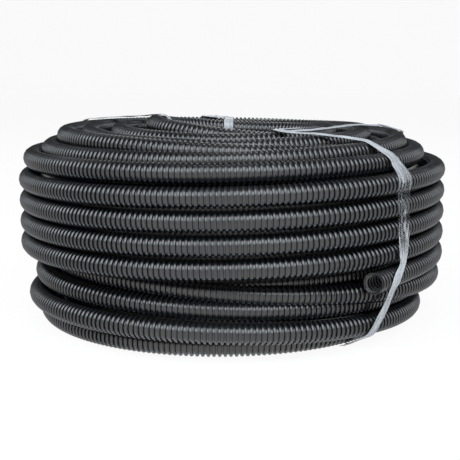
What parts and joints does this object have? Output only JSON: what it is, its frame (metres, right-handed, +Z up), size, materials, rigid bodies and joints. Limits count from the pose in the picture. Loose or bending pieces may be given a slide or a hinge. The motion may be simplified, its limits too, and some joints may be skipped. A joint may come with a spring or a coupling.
{
  "type": "coil of corrugated conduit",
  "caption": "Coil of black corrugated plastic conduit lying flat, wound in layers round an open eye, tied with clear film, with one open end free at the front.",
  "frame": {"origin": "centre of the bounding box on the floor that the coil lies on, which is on the coil's axis to a few millimetres", "axes": "+Z up along the coil's axis; -Y is the front, where the free end's mouth shows; +X is to the right seen from the front, the side that the free end runs back to"},
  "size_m": [0.448, 0.449, 0.2074],
  "materials": {
    "conduit": "satin black extruded polyethylene with moulded ribs",
    "film": "clear stretch film gathered to a strip, wrinkled and glossy"
  },
  "bodies": {
    "root": {"conduit": "conduit", "film_tie_front_right": "film", "film_tie_back_right": "film", "film_tie_back": "film", "film_tie_left": "film"}
  },
  "joints": []
}
